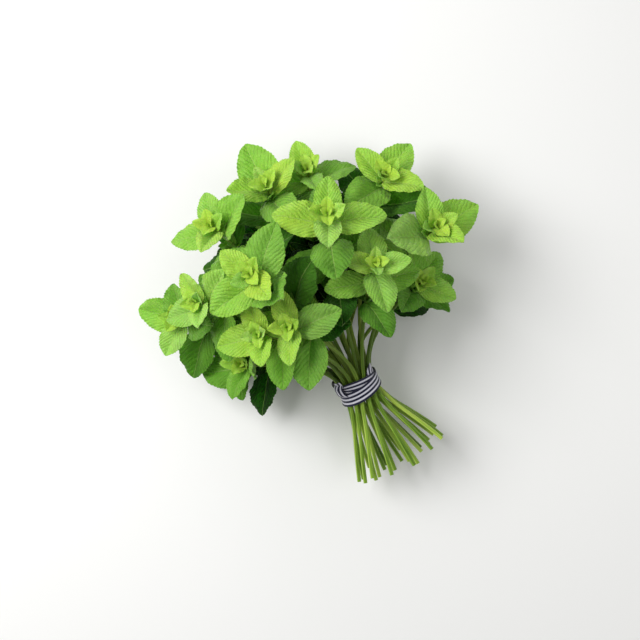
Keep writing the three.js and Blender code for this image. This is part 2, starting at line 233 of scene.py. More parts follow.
def settleStems(sprigs):
    # each stem takes the bow whose pointed end is where its solid's is
    for index, sprig in enumerate(sprigs):
        sprig["tree"] = nodePoints(index)
        best = None
        for bow in bunch["bows"]:
            runStem(sprig, index, bow)
            along = bezierTangent(sprig["upper"], 1)
            first, second = across(along)
            corner = sprig["upper"][3] + along * bunch["bud"][0] + (first + second) * bunch["bud"][1] / 2
            miss = sprig["tree"].find(corner)[2]
            if best is None or miss < best[0]:
                best = (miss, bow)
        runStem(sprig, index, best[1])
        sprig["miss"] = best[0]


def outline(s):
    # half-width along the blade: ovate, widest below the middle
    return np.sin(math.pi * np.clip(s, 0, 1) ** 0.82) ** 0.78


def bladePoint(leaf, s, v, h, narrowest=0.75):
    # s runs along a solid's blade, v across it from -1 to 1, and h is over it
    turn = (leaf["bend"] * s)[:, None]
    half = 0.5 * leaf["width"] * np.maximum(outline(s), narrowest / leaf["width"])
    normal = leaf["along"] * np.sin(turn) + leaf["face"] * np.cos(turn)
    ripple = leaf["ripple"] * np.sin(9.5 * s + leaf["phase"]) * v * np.abs(v)
    lift = leaf["fold"] * np.abs(v) * half + ripple + h
    return (leaf["root"] + leaf["along"] * leaf["length"] * np.sin(turn) / leaf["bend"]
            - leaf["face"] * leaf["length"] * (1 - np.cos(turn)) / leaf["bend"]
            + leaf["side"] * (v * half)[:, None] + normal * lift[:, None])


def leafAt(sprig, key, below, shape, azimuth, pitch, size):
    # a blade on a stem: shape is its length, width, bend, fold and ripple
    t = 1 - below / sprig["length"]
    along = bezierTangent(sprig["upper"], t)
    first, second = across(along)
    out = first * math.cos(azimuth) + second * math.sin(azimuth)
    droop = max(0.0, -float(along[2] * math.cos(pitch) + out[2] * math.sin(pitch)))
    pitch = pitch - math.radians(light["raise"]) * droop
    leafAlong = along * math.cos(pitch) + out * math.sin(pitch)
    face = along * math.sin(pitch) - out * math.cos(pitch)
    sideways = np.cross(leafAlong, face)
    tilt = math.radians(leafVary["tilt"] * draw(sprig["index"], key, 4))
    tilt += light["twist"] * math.atan2(-sideways[2], face[2] + light["ease"])
    length, width, bend, fold, ripple = shape
    bend = bend * (1 - light["straighten"] * droop)
    return {"root": stemMiddle(sprig, t) + out * leafGrowth["rootDepth"] * stemWidth(t),
            "along": leafAlong, "side": sideways * math.cos(tilt) + face * math.sin(tilt),
            "face": face * math.cos(tilt) - sideways * math.sin(tilt),
            "length": length * size, "width": width * size, "bend": bend, "fold": fold, "ripple": ripple,
            "phase": leafVary["phase"] * draw(sprig["index"], key, 8), "cup": 0,
            "twist": leafVary["twist"] * draw(sprig["index"], key, 14)}


def mainLeaf(sprig, level, side, scale, yaw, pitch):
    # a leaf of a pair, this much smaller and turned this far to keep clear of others
    below, length, width, lean, bend = pairs[level]
    key = 2 * level + side + 1

    def vary(name, purpose):
        return leafVary[name] * draw(sprig["index"], key, purpose)

    azimuth = sprig["roll"] + (level % 2) * math.pi / 2 + side * math.pi
    azimuth += math.radians(yaw + vary("azimuth", 1))
    shape = (length, width * (1 + vary("width", 5)), math.radians(bend + vary("bend", 6)),
             leafGrowth["fold"] + vary("fold", 7), leafGrowth["ripple"] * width)
    size = sprig["size"] * scale * (1 + vary("size", 3))
    pitch = math.radians(lean + pitch + vary("pitch", 2))
    return leafAt(sprig, key, below * sprig["size"], shape, azimuth, pitch, size)


def pressed(leaf, s, v, h, thick):
    # the surface pushes up whatever would go under it
    points = bladePoint(leaf, s, v, h)
    low = np.minimum(*[bladePoint(leaf, s, v, 0 * h + side * thick / 2)[:, 2] for side in (1, -1)])
    points[:, 2] += np.maximum(-low, 0)
    return points


def settleLeaves(sprigs):
    # each leaf takes the first pose whose two tip corners its solid has
    ends = np.ones(2), np.zeros(2), np.array((0.5, -0.5)) * leafGrowth["thick"]
    for sprig in sprigs:
        sprig["leaves"] = []
        for level, pair in enumerate(pairs):
            if sprig["length"] - pair[0] * sprig["size"] < leafGrowth["bareStem"]:
                continue
            for side in (0, 1):
                tries = ((s, y, p) for s in leafGrowth["giveScale"] for y in leafGrowth["giveYaw"]
                         for p in leafGrowth["givePitch"])
                for scale, yaw, pitch in tries:
                    leaf = mainLeaf(sprig, level, side, scale, yaw, pitch)
                    corners = pressed(leaf, *ends, leafGrowth["thick"])
                    if max(sprig["tree"].find(c)[2] for c in corners) < leafGrowth["fit"]:
                        leaf.update(level=level, which=side)
                        sprig["leaves"].append(leaf)
                        break


sprigs = listSprigs()
seatSprigs(sprigs)
settleStems(sprigs)
settleLeaves(sprigs)
print("stems", len(sprigs), "worst fit", round(max(s["miss"] for s in sprigs), 3), "mm, leaves",
      sum(len(s["leaves"]) for s in sprigs))


def toLinear(hexColour):
    # an sRGB hex value as Blender's linear colour
    parts = [int(hexColour[i:i + 2], 16) / 255 for i in (1, 3, 5)]
    return (*[c / 12.92 if c <= 0.04045 else ((c + 0.055) / 1.055) ** 2.4 for c in parts], 1)


def addNode(tree, kind, inputs=(), output=0, stops=(), **settings):
    # one node: its settings, its inputs set to a value, a hex colour or another node's output, and a
    # ramp's stops. It gives back the named output.
    node = tree.nodes.new("ShaderNode" + kind)
    for name, value in settings.items():
        setattr(node, name, value)
    for place, value in inputs.items() if isinstance(inputs, dict) else enumerate(inputs):
        if isinstance(value, bpy.types.NodeSocket):
            tree.links.new(value, node.inputs[place])
        else:
            node.inputs[place].default_value = toLinear(value) if isinstance(value, str) else value
    for _ in stops[2:]:
        node.color_ramp.elements.new(0.5)
    for k, (place, colour) in enumerate(stops):
        node.color_ramp.elements[k].position = place
        node.color_ramp.elements[k].color = toLinear(colour)
    return node.outputs[output]


def newMaterial(name, finish):
    # a material whose shader's plain numbers are set by name
    material = bpy.data.materials.new(name)
    material.use_nodes = True
    tree = material.node_tree
    shader = tree.nodes["Principled BSDF"]
    for socket, value in finish.items():
        shader.inputs[socket].default_value = value
    return material, tree, shader


# The side veins, which the meshes and the material share: pairs in a blade's length, how far they lean
# forwards and curve, and by how much of their distance the two sides are staggered
veins = {"pairs": 8.5, "slope": 1.4, "curve": 1.0, "stagger": 0.22}
leafLook = {
    # from the folded tips to the oldest leaves, each with the value that it stands for; the darkest stops
    # also serve as painted shade for leaves deep and low in the bunch
    "ages": ((0.0, "#B2D43C"), (0.12, "#A2CE3C"), (0.3, "#8AC040"), (0.5, "#609426"), (0.78, "#2A5610"),
             (1.0, "#132C08")),
    # the groove colour is painted shade in the sunken veins
    "rib": "#BCD87E", "grooveShade": "#3C6F18", "under": "#98B870", "bloomSheen": "#BCE08C",
    "veinWidth": 0.1,  # of the distance between two side veins
    "net": 2,  # across a mesh of the smallest veins, in mm
    "relief": 0.6,  # height of the quilting, in mm
    "roughness": (0.42, 0.85),  # of a young leaf and of an old one
    "finish": {"Specular IOR Level": 0.18, "IOR": 1.42, "Sheen Weight": 0.03, "Sheen Roughness": 0.5,
               "Subsurface Weight": 0.3, "Subsurface Radius": (0.5, 1.0, 0.15), "Subsurface Scale": 0.002},
}


def leafMaterial():
    # fresh mint leaf: thin and translucent, matte with fine down, and quilted between its sunken veins
    material, tree, shader = newMaterial("freshMintLeaf", leafLook["finish"])
    leafTone = addNode(tree, "Attribute", output="Fac", attribute_name="leafAge")
    size = addNode(tree, "Attribute", output="Fac", attribute_name="leafSize")
    under = addNode(tree, "Attribute", output="Fac", attribute_name="underside")
    tint = addNode(tree, "Attribute", output="Fac", attribute_name="leafTint")
    uv = addNode(tree, "UVMap", uv_map="leafMap")
    millimetres = addNode(tree, "VectorMath", {0: uv, "Scale": size}, operation="SCALE")
    fromEdge, along = addNode(tree, "SeparateXYZ", (uv,)).node.outputs[:2]
    # the side veins run forwards from the rib and curve towards the tip
    offset = addNode(tree, "Math", (fromEdge, 0.5), operation="SUBTRACT")
    side = addNode(tree, "Math", (offset,), operation="ABSOLUTE")
    lean = addNode(tree, "Math", (side, veins["slope"]), operation="MULTIPLY")
    bow = addNode(tree, "Math", (side, 2.0), operation="POWER")
    bow = addNode(tree, "Math", (bow, veins["curve"]), operation="MULTIPLY")
    hand = addNode(tree, "Math", (offset,), operation="SIGN")
    stagger = addNode(tree, "Math", (hand, veins["stagger"] / veins["pairs"]), operation="MULTIPLY")
    start = addNode(tree, "Math", (along, lean), operation="SUBTRACT")
    start = addNode(tree, "Math", (start, bow), operation="SUBTRACT")
    start = addNode(tree, "Math", (start, stagger), operation="ADD")
    # and wander a little every 4 or 5 mm
    wobble = addNode(tree, "TexNoise", {"Vector": millimetres, "Scale": 0.22, "Detail": 2.0})
    wobble = addNode(tree, "Math", (wobble, 0.5), operation="SUBTRACT")
    wobble = addNode(tree, "Math", (wobble, 0.8), operation="MULTIPLY")
    phase = addNode(tree, "Math", (start, veins["pairs"], wobble), operation="MULTIPLY_ADD")
    nearVein = addNode(tree, "Math", (phase, 0.5), operation="PINGPONG")
    line = addNode(tree, "MapRange", {"Value": nearVein, "From Min": 0.01,
                                      "From Max": leafLook["veinWidth"], "To Min": 1.0, "To Max": 0.0},
                   interpolation_type="SMOOTHSTEP")
    # the rib tapers towards the tip
    ribWidth = addNode(tree, "Math", (along, -0.009, 0.013), operation="MULTIPLY_ADD")
    fromRib = addNode(tree, "Math", (side, ribWidth), operation="SUBTRACT")
    rib = addNode(tree, "MapRange", {"Value": fromRib, "From Min": -0.006, "From Max": 0.006,
                                     "To Min": 1.0, "To Max": 0.0}, interpolation_type="SMOOTHSTEP")
    net = addNode(tree, "TexVoronoi", {"Vector": millimetres, "Scale": 1 / leafLook["net"]}, "Distance",
                  feature="DISTANCE_TO_EDGE")
    netLine = addNode(tree, "MapRange", {"Value": net, "From Min": 0.0, "From Max": 0.25,
                                         "To Min": 1.0, "To Max": 0.0}, interpolation_type="SMOOTHSTEP")
    # the leaf's age, with painted shade for leaves deep, low and under in the bunch, sets its colour; clouds
    # 17 mm across, each leaf's own tint and the way to its tip all shift its colour a little
    place = addNode(tree, "TexCoord", output="Object")
    cloud = addNode(tree, "TexNoise", {"Vector": place, "Scale": 60.0, "Detail": 3.0})
    ageAndShade = addNode(tree, "Math", (cloud, 0.5), operation="SUBTRACT")
    ageAndShade = addNode(tree, "Math", (ageAndShade, 0.25, leafTone), operation="MULTIPLY_ADD")
    ageAndShade = addNode(tree, "Math", (tint, 0.07, ageAndShade), operation="MULTIPLY_ADD")
    ageAndShade = addNode(tree, "Math", (along, 0.12, ageAndShade), operation="MULTIPLY_ADD")
    base = addNode(tree, "ValToRGB", (ageAndShade,), stops=leafLook["ages"])
    # some blades have a paler bloom, partly a painted sheen, which the old ones and those with painted shade
    # have lost
    pale = addNode(tree, "Math", (tint, 0.0), operation="MAXIMUM")
    pale = addNode(tree, "Math", (pale, 0.9, 0.3), operation="MULTIPLY_ADD")
    pale = addNode(tree, "Math", (pale, cloud), operation="MULTIPLY")
    kept = addNode(tree, "Math", (ageAndShade, -1.6, 1.0), operation="MULTIPLY_ADD")
    kept = addNode(tree, "Math", (kept, 0.0), operation="MAXIMUM")
    pale = addNode(tree, "Math", (pale, kept), operation="MULTIPLY")
    base = addNode(tree, "Mix", {0: pale, 6: base, 7: leafLook["bloomSheen"]}, 2, data_type="RGBA")
    # painted shade in the sunken side veins and the net of small ones; the side veins show less on a young
    # leaf
    strength = addNode(tree, "MapRange", {"Value": size, "From Min": 8.0, "From Max": 40.0,
                                          "To Min": 0.05, "To Max": 0.24})
    veined = addNode(tree, "Math", (netLine, 0.13), operation="MULTIPLY")
    base = addNode(tree, "Mix", {0: veined, 6: base, 7: leafLook["grooveShade"]}, 2, data_type="RGBA")
    veined = addNode(tree, "Math", (line, strength), operation="MULTIPLY")
    base = addNode(tree, "Mix", {0: veined, 6: base, 7: leafLook["grooveShade"]}, 2, data_type="RGBA")
    veined = addNode(tree, "Math", (rib, 0.35), operation="MULTIPLY")
    base = addNode(tree, "Mix", {0: veined, 6: base, 7: leafLook["rib"]}, 2, data_type="RGBA")
    turned = addNode(tree, "Math", (under, 0.5), operation="MULTIPLY")
    base = addNode(tree, "Mix", {0: turned, 6: base, 7: leafLook["under"]}, 2, data_type="RGBA")
    tree.links.new(base, shader.inputs["Base Color"])
    # the blade bulges between its side veins, and less between the small ones
    quilt = addNode(tree, "Math", (nearVein, 2.0), operation="MULTIPLY")
    quilt = addNode(tree, "Math", (quilt, 0.6), operation="POWER")
    relief = addNode(tree, "Math", (netLine, -0.4, quilt), operation="MULTIPLY_ADD")
    relief = addNode(tree, "Math", (rib, -0.5, relief), operation="MULTIPLY_ADD")
    # skin of 0.4 mm, coarser than real down so that it shows
    grain = addNode(tree, "TexNoise", {"Vector": millimetres, "Scale": 2.4, "Detail": 2.0})
    relief = addNode(tree, "Math", (grain, 0.12, relief), operation="MULTIPLY_ADD")
    depth = addNode(tree, "MapRange", {"Value": size, "From Min": 8.0, "From Max": 42.0,
                                       "To Min": 0.12, "To Max": 1.0})
    relief = addNode(tree, "Math", (relief, depth), operation="MULTIPLY")
    bump = addNode(tree, "Bump", {"Strength": 0.9, "Distance": leafLook["relief"] * mm, "Height": relief})
    tree.links.new(bump, shader.inputs["Normal"])
    # the old leaves, and those darkened with painted shade deep in the bunch, are dull
    young, old = leafLook["roughness"]
    rough = addNode(tree, "MapRange", {"Value": ageAndShade, "From Min": 0.35, "From Max": 0.85,
                                       "To Min": young, "To Max": old})
    tree.links.new(rough, shader.inputs["Roughness"])
    return material


stemLook = {
    "tones": ((0.0, "#3A5A10"), (0.5, "#7FA432"), (1.0, "#B8D05A")),
    "shade": "#34440C",  # painted shade, just above the tie
    "cut": ((0.3, "#BFCB86"), (0.7, "#E0E6BE")),
    "streaks": (16.0, 0.8, 1.0),  # round the stem and in 20 mm along it
    "ribs": 0.5,  # height, in mm
    "finish": {"Roughness": 0.33, "Specular IOR Level": 0.3, "Subsurface Weight": 0.1,
               "Subsurface Radius": (0.5, 1.0, 0.2), "Subsurface Scale": 0.001},
}


def stemMaterial():
    # fresh mint stem: waxy and ribbed along its length, with a painted highlight on its four ridges and
    # painted shade in the groove down each side
    material, tree, shader = newMaterial("freshMintStem", stemLook["finish"])
    uv = addNode(tree, "UVMap", uv_map="leafMap")
    tint = addNode(tree, "Attribute", output="Fac", attribute_name="leafTint")
    around, along = addNode(tree, "SeparateXYZ", (uv,)).node.outputs[:2]
    ridge = addNode(tree, "Math", (around, 4.0), operation="MULTIPLY")
    ridge = addNode(tree, "Math", (ridge, 0.5), operation="PINGPONG")
    stretched = addNode(tree, "Mapping", {"Vector": uv, "Scale": stemLook["streaks"]})
    streak = addNode(tree, "TexNoise", {"Vector": stretched, "Scale": 1.0, "Detail": 4.0})
    own = addNode(tree, "Math", (tint, 0.36, 0.5), operation="MULTIPLY_ADD")
    tone = addNode(tree, "Math", (streak, 0.5), operation="SUBTRACT")
    tone = addNode(tree, "Math", (tone, 1.5, own), operation="MULTIPLY_ADD")
    tone = addNode(tree, "Math", (tone, 0.24), operation="ADD")
    # painted highlight at the corners and painted shade down the middle of each side
    tone = addNode(tree, "Math", (ridge, -0.9, tone), operation="MULTIPLY_ADD")
    base = addNode(tree, "ValToRGB", (tone,), stops=stemLook["tones"])
    # painted shade, darkest just above the tie, 70 to 90 mm from the cut ends, and green again towards the
    # tips
    rising = addNode(tree, "MapRange", {"Value": along, "From Min": 3.4, "From Max": 4.6, "To Max": 0.42},
                     interpolation_type="SMOOTHSTEP")
    falling = addNode(tree, "MapRange", {"Value": along, "From Min": 7.0, "From Max": 11.0,
                                         "To Min": 1.0, "To Max": 0.2}, interpolation_type="SMOOTHSTEP")
    shaded = addNode(tree, "Math", (rising, falling), operation="MULTIPLY")
    base = addNode(tree, "Mix", {0: shaded, 6: base, 7: stemLook["shade"]}, 2, data_type="RGBA")
    tree.links.new(base, shader.inputs["Base Color"])
    height = addNode(tree, "Math", (ridge, -0.5), operation="MULTIPLY")
    height = addNode(tree, "Math", (streak, 0.5, height), operation="MULTIPLY_ADD")
    bump = addNode(tree, "Bump", {"Strength": 0.6, "Distance": stemLook["ribs"] * mm, "Height": height})
    tree.links.new(bump, shader.inputs["Normal"])
    return material


def cutMaterial():
    # the wet cut across a stem: pale, with a paler pith, in grains of 0.7 mm
    material, tree, shader = newMaterial("cutMintStem", {"Roughness": 0.35})
    place = addNode(tree, "TexCoord", output="Object")
    grain = addNode(tree, "TexNoise", {"Vector": place, "Scale": 1400.0, "Detail": 2.0})
    base = addNode(tree, "ValToRGB", (grain,), stops=stemLook["cut"])
    tree.links.new(base, shader.inputs["Base Color"])
    return material


def deselect():
    if bpy.context.object and bpy.context.object.mode != "OBJECT":
        bpy.ops.object.mode_set(mode="OBJECT")
    bpy.ops.object.select_all(action="DESELECT")


def dress(piece, materials):
    piece.data.materials.clear()
    for material in materials:
        piece.data.materials.append(material)


def masterSheet(name, rows, columns, materials):
    # a flat sheet 2 wide and 2 long, with its two faces 1 apart
    deselect()
    bpy.ops.mesh.primitive_grid_add(x_subdivisions=columns, y_subdivisions=rows, size=2)
    piece = bpy.context.object
    piece.name = name
    dress(piece, materials)
    wall = piece.modifiers.new("wall", "SOLIDIFY")
    wall.thickness = 1
    wall.offset = 0
    bpy.ops.object.modifier_apply(modifier="wall")
    return piece


def masterStem(rings, materials):
    # a stem of sixteen sides, a unit for each ring
    deselect()
    bpy.ops.mesh.primitive_circle_add(vertices=16, radius=1, fill_type="NGON")
    stem = bpy.context.object
    stem.name = "masterStem"
    dress(stem, materials)
    bpy.ops.object.mode_set(mode="EDIT")
    bpy.ops.mesh.select_all(action="SELECT")
    for _ in range(rings):
        bpy.ops.mesh.extrude_region_move(TRANSFORM_OT_translate={"value": (0, 0, 1)})
    bpy.ops.mesh.select_all(action="SELECT")
    bpy.ops.mesh.normals_make_consistent(inside=False)
    bpy.ops.object.mode_set(mode="OBJECT")
    return stem


def readPoints(mesh):
    # x, y and z of each corner of a mesh
    points = np.empty(len(mesh.vertices) * 3)
    mesh.vertices.foreach_get("co", points)
    return points.reshape(-1, 3)


def copyOf(master, name):
    piece = master.copy()
    piece.data = master.data.copy()
    piece.name = name
    bpy.context.collection.objects.link(piece)
    return piece


def shapeMesh(mesh, points, mapAcross, mapAlong):
    # moves a piece's corners to these points, in millimetres, and gives it its only map
    mesh.vertices.foreach_set("co", (points * mm).ravel())
    corners = np.empty(len(mesh.loops), dtype=np.int32)
    mesh.loops.foreach_get("vertex_index", corners)
    while mesh.uv_layers:
        mesh.uv_layers.remove(mesh.uv_layers[0])
    places = np.column_stack((mapAcross[corners], mapAlong[corners])).astype(np.float32)
    mesh.uv_layers.new(name="leafMap").data.foreach_set("uv", places.ravel())


def setTraits(mesh, **traits):
    # numbers at each point, which the materials read
    for name, values in traits.items():
        trait = mesh.attributes.new(name, "FLOAT", "POINT")
        trait.data.foreach_set("value", (np.zeros(len(mesh.vertices)) + values).astype(np.float32))


leafForm = {
    "thick": 0.34,
    "teeth": 17, "toothDepth": 0.5, "toothReach": 0.55,  # on a side, how far they stand out, and forwards
    "toothless": 9, "toothed": 31,  # longest leaf with no teeth, and shortest with whole ones
    "quilt": 0.3, "fullLength": 45,  # bulge between the side veins, on a leaf of this length
    "ribDepth": 0.6, "ribWidth": 0.9,
    "arch": 0.15,  # of each half, for its width
    "wave": 0.022, "ruffle": 0.024,  # of the blade for its length, and of its margin for its width
    "narrowest": 0.2,
}


def growLeaf(master, leaf, leafTone, tint):
    # bends a copy of the master blade to its place, with its teeth, rib, veins and quilting
    piece = copyOf(master, "leaf")
    x, y, z = readPoints(piece.data).T
    rows = len(np.unique(np.round(y, 5))) - 1
    s, v = (y + 1) / 2, x
    length, width, phase = leaf["length"], leaf["width"], leaf["phase"]
    half = 0.5 * width * np.maximum(roundOutline(s), leafForm["narrowest"] / width)
    # teeth point forwards: a slow rise to each point and a steep drop after it
    row = np.round(s * rows).astype(int)
    teethRows = max(round(rows / leafForm["teeth"]), 2)
    rising = (row % teethRows) / max(teethRows - 1, 1)
    body = np.clip(np.sin(math.pi * s) * 2.2, 0, 1) * (s > 0.1)
    grown = (length - leafForm["toothless"]) / (leafForm["toothed"] - leafForm["toothless"])
    depth = leafForm["toothDepth"] * min(max(grown, 0), 1) * body * (np.abs(v) > 0.99)
    v = v * (1 + depth * (rising - 0.4) / half)
    s = s + depth * leafForm["toothReach"] * rising / length
    reach = v * half / length
    # the quilting fades at the margin, the root and the tip, and the rib towards the tip
    full = length / leafForm["fullLength"]
    bulge = np.abs(np.sin(math.pi * veinPhase(s, reach))) ** 0.7
    inside = np.clip(1.15 - np.abs(x) ** 3, 0, 1) * np.clip(s * 6, 0, 1) * np.clip((1 - s) * 5, 0, 1)
    relief = leafForm["quilt"] * min(full, 1.1) * bulge * inside
    rib = np.exp(-(reach * length / leafForm["ribWidth"]) ** 2)
    relief -= leafForm["ribDepth"] * full * rib * np.clip(1.2 - s, 0, 1)
    relief += leafForm["arch"] * half * np.sin(math.pi * np.abs(x)) ** 2
    relief += leafForm["wave"] * length * np.sin(7 * s + 3 * x + 4 * phase) * np.sin(math.pi * s)
    ruffle = np.sin(31 * s + 5 * phase + 1.5 * np.sign(x))
    relief += leafForm["ruffle"] * width * ruffle * np.abs(x) ** 3
    points = pressedVisual(leaf, s, v, z * leafForm["thick"], relief, half)
    shapeMesh(piece.data, points, 0.5 + reach, s)
    setTraits(piece.data, leafAge=leafTone, leafTint=tint, leafSize=length, underside=(z < 0).astype(float))
    return piece


def roundOutline(s):
    # as wide as the solids' blades, with a fuller base and a rounder tip
    s = np.clip(s, 0, 1)
    return np.sin(math.pi * s ** 0.84) ** (0.57 + 0.1 * s)


def veinPhase(s, reach):
    # counts the side veins along a blade, at this reach from its rib
    side = np.abs(reach)
    start = s - veins["slope"] * side - veins["curve"] * side ** 2
    return veins["pairs"] * start + veins["stagger"] * np.sign(reach)


def pressedVisual(leaf, s, v, h, relief, half):
    # the solids' own blade with its cup, relief and twist, pushed up where it would go under the surface
    turn = (leaf["bend"] * s)[:, None]
    normal = leaf["along"] * np.sin(turn) + leaf["face"] * np.cos(turn)
    ripple = leaf["ripple"] * np.sin(9.5 * s + leaf["phase"]) * v * np.abs(v)
    fold = (leaf["fold"] * (np.sqrt(v * v + 0.015) - 0.12) + leaf["cup"] * v * v) * half
    middle = (leaf["root"] + leaf["along"] * leaf["length"] * np.sin(turn) / leaf["bend"]
              - leaf["face"] * leaf["length"] * (1 - np.cos(turn)) / leaf["bend"]
              + leaf["side"] * (v * half)[:, None] + normal * (fold + ripple + relief)[:, None])
    turned = v * half * leaf["twist"] * s * np.sin(math.pi * s) ** 0.5
    middle = middle + normal * turned[:, None]
    points = middle + normal * h[:, None]
    low = middle[:, 2] - np.abs(normal[:, 2]) * leafForm["thick"] / 2
    points[:, 2] += np.maximum(-low, 0)
    return points


stemForm = {
    "rings": 46, "lowShare": 0.34,  # rings along a stem, and the share of them below the tie
    "stand": 1.02,  # how far it stands out past its solid
    "node": 0.22, "nodeLength": 2.2,  # swelling where a pair of leaves grows
    "grooveShade": 0.1, "grooveWidth": 0.3,  # down the middle of each side
    "tipShare": 0.5,
    "mapRate": 0.05,  # of the map's Y for each mm along it
}


def growStem(master, sprig, tint):
    # lays a copy of the master stem along both curves of a sprig
    piece = copyOf(master, "stem")
    x, y, z = readPoints(piece.data).T
    turn = np.arctan2(y, x)
    ring = np.round(z).astype(int)
    rings = stemForm["rings"]
    below = int(rings * stemForm["lowShare"])
    points = np.empty((len(x), 3))
    along = np.empty(len(x))
    run = 0
    last = None
    nodes = [sprig["length"] - p[0] * sprig["size"] for p in pairs[2:]]
    # a square with soft corners, and a groove down the middle of each side
    corner = turn + math.pi / 4
    profile = (np.abs(np.cos(corner)) ** 3 + np.abs(np.sin(corner)) ** 3) ** (-1 / 3)
    fromGroove = (corner + math.pi / 4) % (math.pi / 2) - math.pi / 4
    profile *= 1 - stemForm["grooveShade"] * np.exp(-(fromGroove / stemForm["grooveWidth"]) ** 2)
    for r in range(rings + 1):
        if r < below:
            curve, t, side = sprig["lower"], r / below, bunch["stemSide"]
        else:
            curve, t = sprig["upper"], (r - below) / (rings - below)
            swell = sum(math.exp(-((t * sprig["length"] - n) / stemForm["nodeLength"]) ** 2) for n in nodes)
            side = stemWidth(t) * (1 + stemForm["node"] * min(swell, 1))
        if r == rings:
            side = side * stemForm["tipShare"]
        middle = bezierPoint(curve, t)
        run = run + (0 if last is None else float(np.linalg.norm(middle - last)))
        last = middle
        first, second = across(bezierTangent(curve, t))
        chosen = ring == r
        a = corner[chosen]
        reach = side / 2 * profile[chosen] * stemForm["stand"]
        points[chosen] = middle + np.outer(np.cos(a) * reach, first) + np.outer(np.sin(a) * reach, second)
        along[chosen] = run * stemForm["mapRate"]
    points[:, 2] = np.maximum(points[:, 2], 0)
    shapeMesh(piece.data, points, (turn / (2 * math.pi)) % 1, along)
    setTraits(piece.data, leafAge=0.5, leafTint=tint, leafSize=40, underside=0)
    # the first ring's own face is the cut
    for face in piece.data.polygons:
        cut = len(face.vertices) > 4 and abs(z[face.vertices[0]]) < 0.5
        face.material_index = 2 if cut else 1
    return piece


mintMaterials = [leafMaterial(), stemMaterial(), cutMaterial()]
leafMasters = {name: masterSheet("master", rows, columns, mintMaterials)
               for name, rows, columns in (("large", 51, 12), ("middle", 36, 10), ("small", 24, 8))}
stemMaster = masterStem(stemForm["rings"], mintMaterials)

# How old each pair looks from the tip down, how much its blades cup, how much a leaf's age varies at random,
# and the painted shade that darkens leaves deep in the bunch, low down and in the fans under the heads
ages = (0.05, 0.13, 0.22, 0.36, 0.52, 0.66)
cups = (0.14, 0.12, 0.06, 0, 0, 0)
cupVary = 0.1
ageAndPaintedShade = {
    # painted shade: deep in the bunch, on the fans under the heads and on their young leaves, and low down
    "vary": 0.11, "buriedShade": 0.55, "under": 0.12, "underTipsShade": 0.3, "low": 0.12,
    "buriedFrom": 78, "lowFrom": 62, "fall": 50,  # heights, and the fall from them to the full effect, in mm
    "heart": 40, "fade": 80,  # how far round the middle it is full, and over how far it fades
}
longestSmall = 22  # a shorter leaf is grown from the small master


def buriedShade(leaf):
    # how deep in the bunch a leaf is, where painted shade darkens it
    low = (ageAndPaintedShade["buriedFrom"] - leaf["root"][2]) / ageAndPaintedShade["fall"]
    out = math.dist(leaf["root"][:2], bunch["domeMiddle"][:2])
    inner = 1 - (out - ageAndPaintedShade["heart"]) / ageAndPaintedShade["fade"]
    return min(max(low, 0), 1) * min(max(inner, 0), 1)


def leafShade(sprig, leaf, key):
    # a leaf's age, with painted shade added deep in the bunch, in the fans under the heads and low down
    low = (ageAndPaintedShade["lowFrom"] - leaf["root"][2]) / ageAndPaintedShade["fall"]
    shade = ages[leaf["level"]] + ageAndPaintedShade["vary"] * draw(sprig["index"], key, 12)
    shade += ageAndPaintedShade["buriedShade"] * buriedShade(leaf) + (0 if sprig["front"] else ageAndPaintedShade["under"])
    return shade + ageAndPaintedShade["low"] * min(max(low, 0), 1)


# The two pairs of young leaves in the middle of each head: below its tip, length, width, pitch, age
tips = {
    "pairs": ((-3, 8.5, 6.2, 13, -0.04), (-0.5, 14.5, 10.4, 33, 0.0)),
    "bend": 34, "fold": 0.1, "ripple": 0.04, "cup": 0.26, "vary": {"bend": 10, "pitch": 6},
}
# The three leaves of a shoot in an axil: turn, length, width, pitch
shoots = {
    "leaves": ((-38, 13, 7.5, 30), (38, 13, 7.5, 37), (0, 16, 8.5, 44)),
    "from": 2, "under": -1.5,  # the first pair that has shoots, and how far below it they start
    "bend": 20, "fold": 0.3, "ripple": 0.25, "size": 0.75, "vary": {"size": 0.25, "pitch": 8},
    "leafTone": 0.2, "darker": 0.12,  # with each pair down the stem
}


def headLeaves(sprig):
    # the young leaves that are still folded in the middle of a head
    made = []
    index, vary = sprig["index"], tips["vary"]
    for k, (below, length, width, lean, shade) in enumerate(tips["pairs"]):
        for side in (0, 1):
            key = 20 + 2 * k + side
            azimuth = sprig["roll"] + (k % 2) * math.pi / 2 + side * math.pi
            bend = math.radians(tips["bend"] + vary["bend"] * draw(index, key, 6))
            shape = (length, width, bend, tips["fold"], tips["ripple"] * width)
            pitch = math.radians(lean + vary["pitch"] * draw(index, key, 2))
            leaf = leafAt(sprig, key, below * sprig["size"], shape, azimuth, pitch, sprig["size"])
            leaf["cup"] = tips["cup"]
            made.append((leaf, shade))
    return made


def shootLeaves(sprig, leaf):
    # the small shoot between a leaf and the stem
    made = []
    level, vary = leaf["level"], shoots["vary"]
    below = (pairs[level][0] + shoots["under"]) * sprig["size"]
    azimuth = sprig["roll"] + (level % 2) * math.pi / 2 + leaf["which"] * math.pi
    for k, (turn, length, width, lean) in enumerate(shoots["leaves"]):
        key = 40 + 2 * level + leaf["which"] + 7 * k
        grow = shoots["size"] + vary["size"] * draw(sprig["index"], key, 9)
        shape = (length * grow, width * grow, math.radians(shoots["bend"]), shoots["fold"], shoots["ripple"])
        pitch = math.radians(lean + vary["pitch"] * draw(sprig["index"], key, 2))
        small = leafAt(sprig, key, below, shape, azimuth + math.radians(turn), pitch, sprig["size"])
        made.append((small, shoots["leafTone"] + shoots["darker"] * (level - shoots["from"])))
    return made


